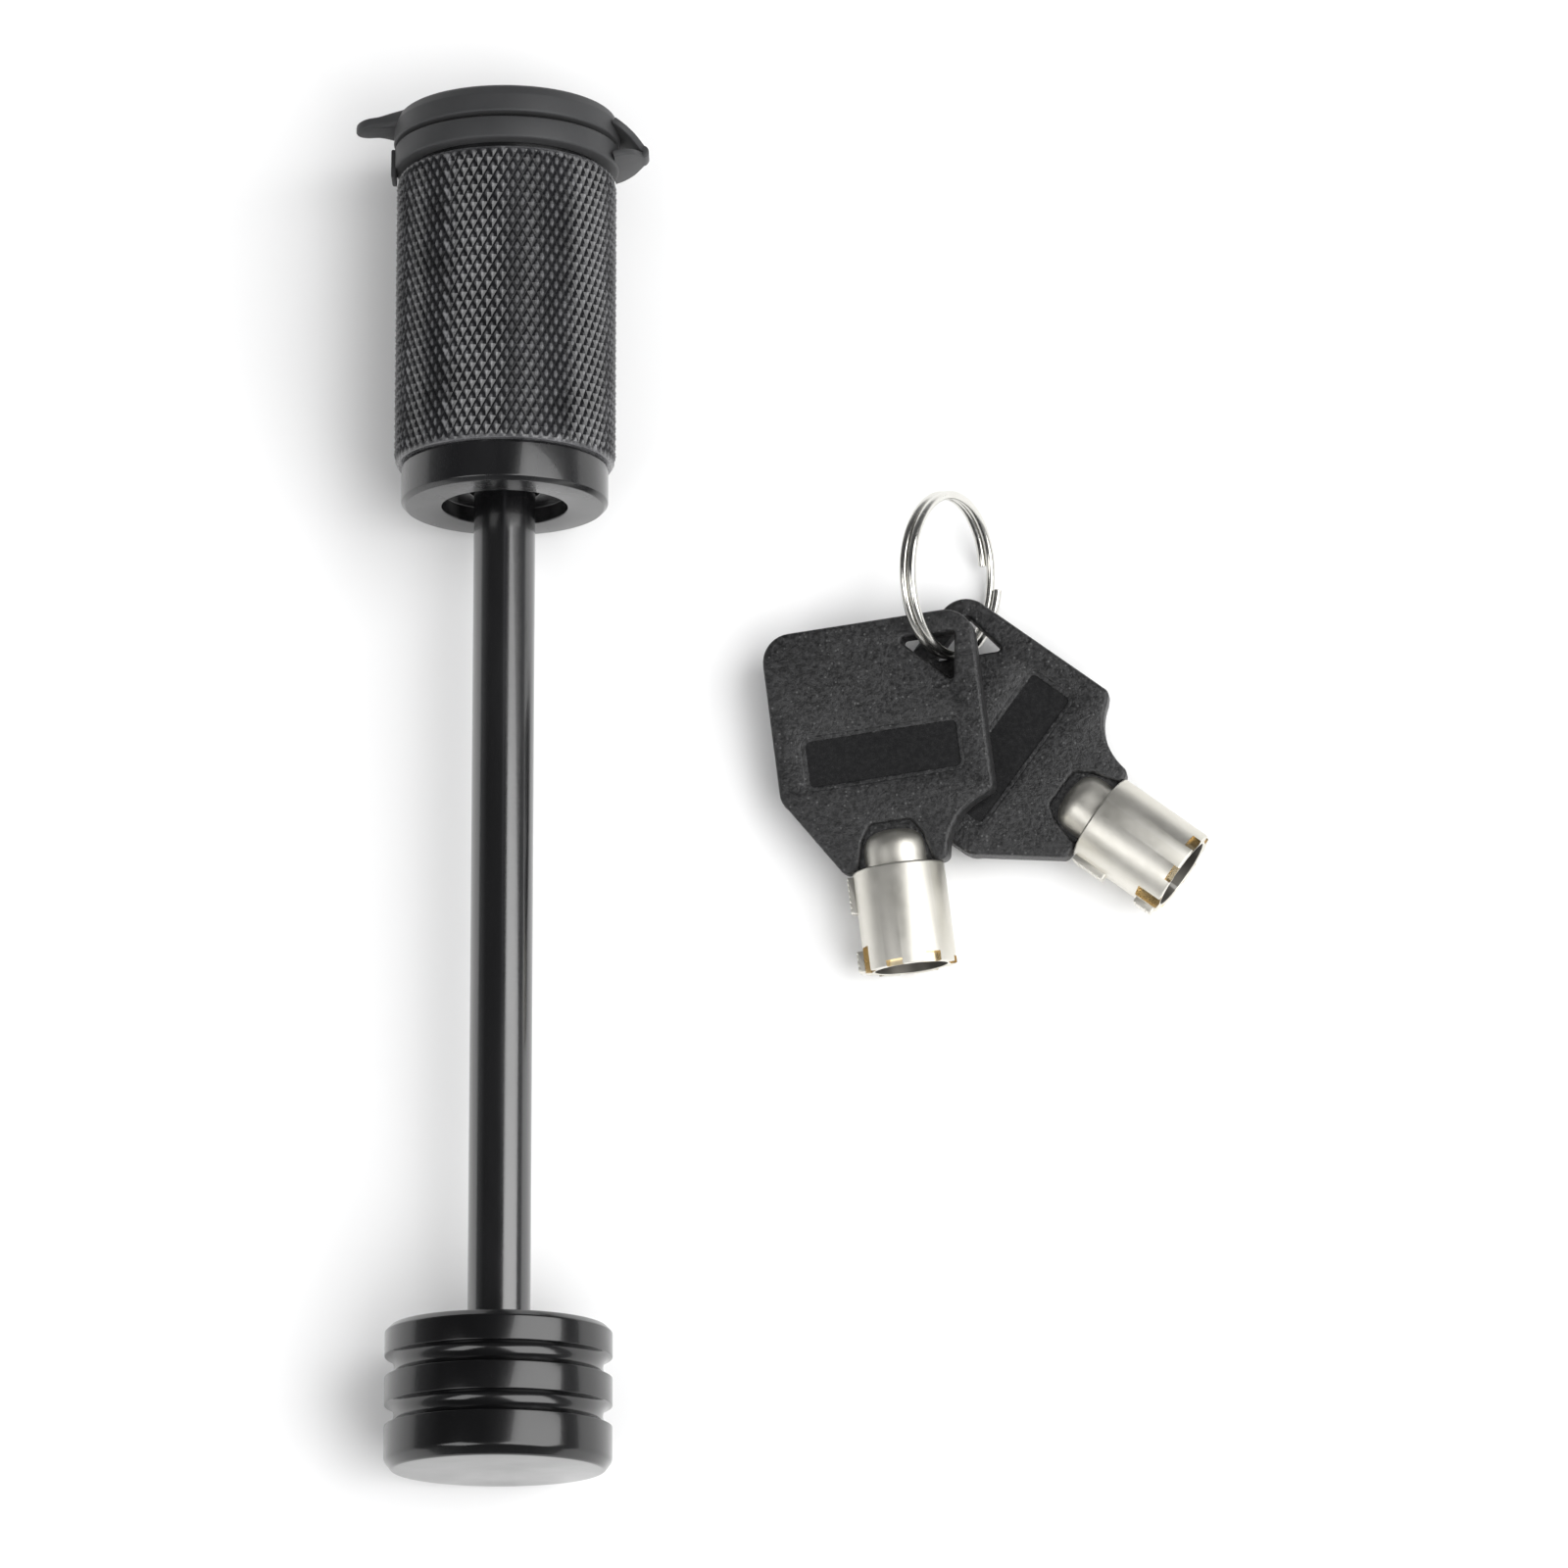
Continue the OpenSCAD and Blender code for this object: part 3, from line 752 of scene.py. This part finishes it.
def hinge_strap():
    """One bent strap from the ring, round the fold, to the cap. It rides on neither body."""
    fold_r = 0.36
    corner = 0.2
    steps = 9
    fold = Vector((HINGE[0] - 0.2, HINGE[1] + 0.05))
    ring_root = Vector((RING_R - 0.5, ring_low.y + 0.6))
    cap_root = Vector((CAP_R - 0.6, ring_high.y + 2.0))
    low_end = fold + Vector((0.05, -fold_r))
    high_end = fold + Vector((0.05, fold_r))
    # Each station is (point, how near it is to the fold, from 0 at a root to 1).
    path = [(ring_root.lerp(low_end, k / steps), k / steps) for k in range(steps + 1)]
    path += [(Vector(point), 1.0) for point in arc(fold, fold_r, -80, 80, 10)]
    path += [(high_end.lerp(cap_root, k / steps), 1 - k / steps) for k in range(steps + 1)]
    bm = bmesh.new()
    rings = []
    for i, (p, t) in enumerate(path):
        ahead = path[min(i + 1, len(path) - 1)][0] - path[max(i - 1, 0)][0]
        ahead.normalize()
        out = Vector((ahead.y, -ahead.x))
        taper = (STRAP_ROOT_HALF - STRAP_TIP_HALF) * (1 - t**2.2)
        half = STRAP_TIP_HALF + taper + 0.35 * min(1, 3 * (1 - t))
        thick = STRAP_T / 2
        corners = ((-thick, -half), (thick, -half), (thick, half), (-thick, half))
        section = rounded([(*spot, corner) for spot in corners], 3)
        rings.append([bm.verts.new((p.x + out.x * s, p.y + out.y * s, z)) for s, z in section])
    for a, b in zip(rings, rings[1:]):
        bridge(bm, a, b)
    bm.faces.new(rings[0])
    bm.faces.new(rings[-1])
    strap = finish_mesh("hinge_strap", bm, [RUBBER], None)
    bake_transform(strap)


# ---- Keys ----


def bow_outline():
    """The bow's outline, anticlockwise from its top right corner, with the mouth for the neck."""
    half = BOW_W / 2
    corner = 3
    mouth = [(3.95, 0), (3.2, 3.0), (2.3, 4.4), (1.9, 4.7)]
    return (
        arc((half - corner, BOW_H - corner), corner, 0, 90, 10)
        + arc((-half + corner, BOW_H - corner), corner, 90, 180, 10)
        + arc((-half + 2.4, 9.2), 2.4, 180, 225, 6)
        + arc((-5, 1), 1, 225, 270, 5)
        + [(-x, y) for x, y in mouth]
        + mouth[::-1]
        + arc((4.7, 0.8), 0.8, -90, 0, 5)
        + arc((11.76, 0), 6.3, 168, 106, 12)
        + arc((half - 0.8, 7.1), 0.8, -60, 0, 5)
    )


def rounded_loop(points, radius):
    return [tuple(p) for p in rounded([(*point, radius) for point in points], 5)]


def key_bow(key):
    hole = rounded_loop([(3.1, 23.5), (9.2, 23.4), (8.4, 18.1)], 0.35)
    label = rounded_loop([(-7.8, 9.4), (8.1, 9.4), (8.1, 14.2), (-7.8, 14.2)], 0.5)
    label_depth = 0.25
    web = [(-4.2, 0.3), (4.2, 0.3), (2.4, 5.0), (-2.4, 5.0)]
    bm = bmesh.new()
    plate(bm, bow_outline(), BOW_T, 0.42, [hole], [(label, label_depth, 1)])
    plate(bm, web, thickness=2.0, bevel=0.1)
    bm.transform(KEY_PLACES[key])
    finish_mesh(key + "_grip", bm, [PLASTIC, PANEL], key, key + "_bow")


def loose_object(name, bm):
    """An unlinked object for the boolean cut, with the tube's and the cuts' materials."""
    bmesh.ops.recalc_face_normals(bm, faces=bm.faces)
    mesh = bpy.data.meshes.new(name)
    bm.to_mesh(mesh)
    bm.free()
    for material in (NICKEL, BRASS):
        mesh.materials.append(material)
    return bpy.data.objects.new(name, mesh)


def tube_cutters():
    """Blocks that cut the key's code into the open end of the tube."""
    wall = 1.75
    past_end = 1
    bm = bmesh.new()
    for i, code in enumerate(KEY_CODE):
        height = CUT_MIN + CUT_STEP * code + past_end
        made = bmesh.ops.create_cube(bm, size=1)["verts"]
        place = (
            turned((i + 0.5) * 360 / len(KEY_CODE), "Y")
            @ Matrix.Translation((-TUBE_R - 0.125, -TUBE_LEN - past_end + height / 2, 0))
            @ Matrix.Diagonal((wall, height, CUT_W, 1))
        )
        bmesh.ops.transform(bm, matrix=place, verts=made)
    for face in bm.faces:
        face.material_index = 1
    return loose_object("tube_cutters", bm)


def tube_blank():
    """The tube with its neck, whose top is a superellipse."""
    squareness = 0.72
    rise = NECK_TOP - NECK_LEN
    dome = [
        (NECK_R * math.cos(a) ** squareness, NECK_LEN + rise * math.sin(a) ** squareness)
        for a in (math.radians(6 * k) for k in range(14, 0, -1))
    ]
    profile = [
        (0, NECK_TOP),
        *dome,
        (NECK_R, NECK_LEN),
        (NECK_R, 0),
        (TUBE_R, 0, 0.25),
        (TUBE_R, -TUBE_LEN, 0.12),
        (TUBE_BORE_R, -TUBE_LEN, 0.15),
        (TUBE_BORE_R, -BORE_END),
        (0, -BORE_END),
    ]
    bm = bmesh.new()
    revolve(bm, rounded(profile), 140)
    return loose_object("tube_blank", bm)


def carved(blank, tool):
    """The blank's bmesh with the tool cut out of it. Both objects are used up."""
    for obj in (blank, tool):
        bpy.context.scene.collection.objects.link(obj)
    cut = blank.modifiers.new("cut", "BOOLEAN")
    cut.object = tool
    cut.operation = "DIFFERENCE"
    cut.solver = "EXACT"
    bpy.context.view_layer.update()
    bm = bmesh.new()
    bm.from_mesh(blank.evaluated_get(bpy.context.evaluated_depsgraph_get()).to_mesh())
    for obj in (blank, tool):
        bpy.data.objects.remove(obj)
    return bm


def rib_outline(low, high):
    """Side outline of a stretch of the tube's rib, with fine teeth along its outer edge."""
    root, plain = -TUBE_R + 0.3, -TUBE_R - 0.5
    valley, crest = -TUBE_R - 0.52, -TUBE_R - 0.6
    teeth = round((high - low) / RIB_TOOTH)
    edge = []
    for k in range(teeth):
        y = low + (high - low) * (k + 0.5) / teeth
        falling = [(crest, y + 0.1), (valley, y + 0.14)]
        rising = [(valley, y - 0.12), (crest, y - 0.08)]
        edge += falling if k % 2 else rising
    return [(root, high), (root, low), (plain, low), *edge, (plain, high)]


def key_tube(key):
    bm = carved(tube_blank(), tube_cutters())
    # Faces inside the bore take the near-black painted-shade material.
    for face in bm.faces:
        middle = face.calc_center_median()
        inside = math.hypot(middle.x, middle.z) < TUBE_BORE_R + 0.02
        if middle.y < -BORE_END + 0.1 and inside:
            face.material_index = 2
    for low, high in RIB_STRETCHES:
        plate(bm, rib_outline(low, high), RIB_W, 0.08, steps=2)
    bm.transform(KEY_PLACES[key])
    finish_mesh(key + "_tube", bm, [NICKEL, BRASS, BORE_PAINTED_SHADE], key, key + "_shank", 30)


def split_ring():
    """Two turns of wire side by side, with each end cut square and slightly chamfered."""
    sides = 20
    per_turn = 96
    chamfer = 0.12
    chamfered_share = 0.75
    count = round(COIL_TURNS * per_turn)
    stations = [(0, -chamfer, chamfered_share)]
    stations += [(k, 0, 1) for k in range(count + 1)]
    stations += [(count, chamfer, chamfered_share)]
    bm = bmesh.new()
    rings = []
    for k, slip, share in stations:
        a = TAU * k / per_turn + slip / COIL_R
        middle = COIL_PITCH * COIL_TURNS * (k / count - 0.5)
        wire_r = WIRE_D / 2 * share
        ring = []
        for j in range(sides):
            b = TAU * j / sides
            r = COIL_R + wire_r * math.cos(b)
            ring.append(bm.verts.new((r * math.cos(a), r * math.sin(a), middle + wire_r * math.sin(b))))
        rings.append(ring)
    for a, b in zip(rings, rings[1:]):
        bridge(bm, a, b)
    bm.faces.new(rings[0])
    bm.faces.new(rings[-1])
    bm.transform(COIL_PLACE)
    finish_mesh("split_ring", bm, [WIRE], "key_ring", "key_ring")


# ---- CAD nodes that stay ----


def dress_inner_nodes():
    """The parts inside the head keep their CAD shape and take a machined finish."""
    finishes = {
        "bore_seal": RUBBER,
        "rotor": INNER_BRASS,
        "pin_block": INNER_BRASS,
        "key_pin": INNER_BRASS,
        "retaining_pin": SPRING,
        "snap_ring": SPRING,
        "pin_spring": SPRING,
    }
    for name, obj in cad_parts.items():
        if obj.hide_render:
            continue
        kind = name.rstrip("_0123456789")
        obj.data.materials.clear()
        obj.data.materials.append(finishes.get(kind, STEEL))


knob()
shaft()
collar_and_core()
knurled_sleeve()
rubber_ring()
ring_lug()
rubber_cap()
pull_tab()
hinge_strap()
for key_name in KEY_PLACES:
    key_bow(key_name)
    key_tube(key_name)
split_ring()
dress_inner_nodes()


# ---- Floor, light and camera ----

FLOOR_HALF = 3.0
FLOOR_GAP = 0.0002
TARGET = Vector((0.0288, 0.01337, 0.0))
SKY_COLOUR = (0.97, 0.98, 1.0, 1)
CAMERA_ELEVATION = 76
CAMERA_DISTANCE = 0.7415
CAMERA_LENS = 166.3
CAMERA_ROLL = -0.15


def white_floor():
    """A plain pale floor just under the lowest point of the object."""
    low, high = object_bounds()
    corners = ((-1, -1), (1, -1), (1, 1), (-1, 1))
    spots = [(x * FLOOR_HALF, y * FLOOR_HALF, low.z - FLOOR_GAP) for x, y in corners]
    mesh = bpy.data.meshes.new("floor")
    mesh.from_pydata(spots, [], [(0, 1, 2, 3)])
    floor = bpy.data.objects.new("floor", mesh)
    bpy.context.scene.collection.objects.link(floor)
    f = Finish("floor_white", Roughness=0.7, Specular_IOR_Level=0.2)
    cloud = f.between(f.noise(6, 3), 0.3, 0.7)
    f.set(Base_Color=f.mix(cloud, (0.9, 0.9, 0.9), (0.92, 0.92, 0.92)))
    mesh.materials.append(f.material)


def away_from_target(azimuth, elevation):
    """A direction from the object. Azimuth 0 is on the -Y side and 90 on the +X side."""
    a, e = math.radians(azimuth), math.radians(elevation)
    return Vector((math.sin(a) * math.cos(e), -math.cos(a) * math.cos(e), math.sin(e)))


def soft_box(name, azimuth, elevation, distance, size, power):
    """A rectangular area light aimed at the object."""
    light = bpy.data.lights.new(name, "AREA")
    light.shape = "RECTANGLE"
    light.size, light.size_y = size
    light.energy = power
    lamp = bpy.data.objects.new(name, light)
    away = away_from_target(azimuth, elevation)
    lamp.location = TARGET + away * distance
    lamp.rotation_mode = "QUATERNION"
    lamp.rotation_quaternion = (-away).to_track_quat("-Z", "Y")
    bpy.context.scene.collection.objects.link(lamp)
    return lamp


def studio_world():
    """Pale surroundings, brighter near the horizon than overhead."""
    world = bpy.data.worlds.new("studio")
    world.use_nodes = True
    tree = world.node_tree
    direction = tree.nodes.new("ShaderNodeTexCoord").outputs["Generated"]
    up = tree.nodes.new("ShaderNodeSeparateXYZ")
    tree.links.new(direction, up.inputs[0])
    fall = tree.nodes.new("ShaderNodeMapRange")
    fall.inputs["From Min"].default_value = 0.05
    fall.inputs["From Max"].default_value = 0.5
    fall.inputs["To Min"].default_value = 0.3
    fall.inputs["To Max"].default_value = 0.07
    tree.links.new(up.outputs["Z"], fall.inputs["Value"])
    background = tree.nodes["Background"]
    tree.links.new(fall.outputs["Result"], background.inputs["Strength"])
    background.inputs["Color"].default_value = SKY_COLOUR
    bpy.context.scene.world = world


def photo_camera():
    """The camera at the photo's angle, with a long lens and a slight roll."""
    camera = bpy.data.objects.new("camera", bpy.data.cameras.new("camera"))
    camera.data.lens = CAMERA_LENS
    camera.data.sensor_width = 36
    camera.data.clip_start = 0.01
    back = away_from_target(0, CAMERA_ELEVATION)
    roll = turned(CAMERA_ROLL, "Z").to_quaternion()
    camera.location = TARGET + back * CAMERA_DISTANCE
    camera.rotation_mode = "QUATERNION"
    camera.rotation_quaternion = (-back).to_track_quat("-Z", "Y") @ roll
    bpy.context.scene.collection.objects.link(camera)
    bpy.context.scene.camera = camera


white_floor()
soft_box("key_light", 72, 51, 1.1, (1.4, 1.1), 18)
soft_box("left_light", -52, 44, 1.2, (0.8, 0.55), 4)
top_light = soft_box("top_light", 0, 85, 1.2, (1.6, 1.6), 7)
top_light.visible_glossy = False
studio_world()
photo_camera()
bpy.context.scene.view_settings.view_transform = "Standard"
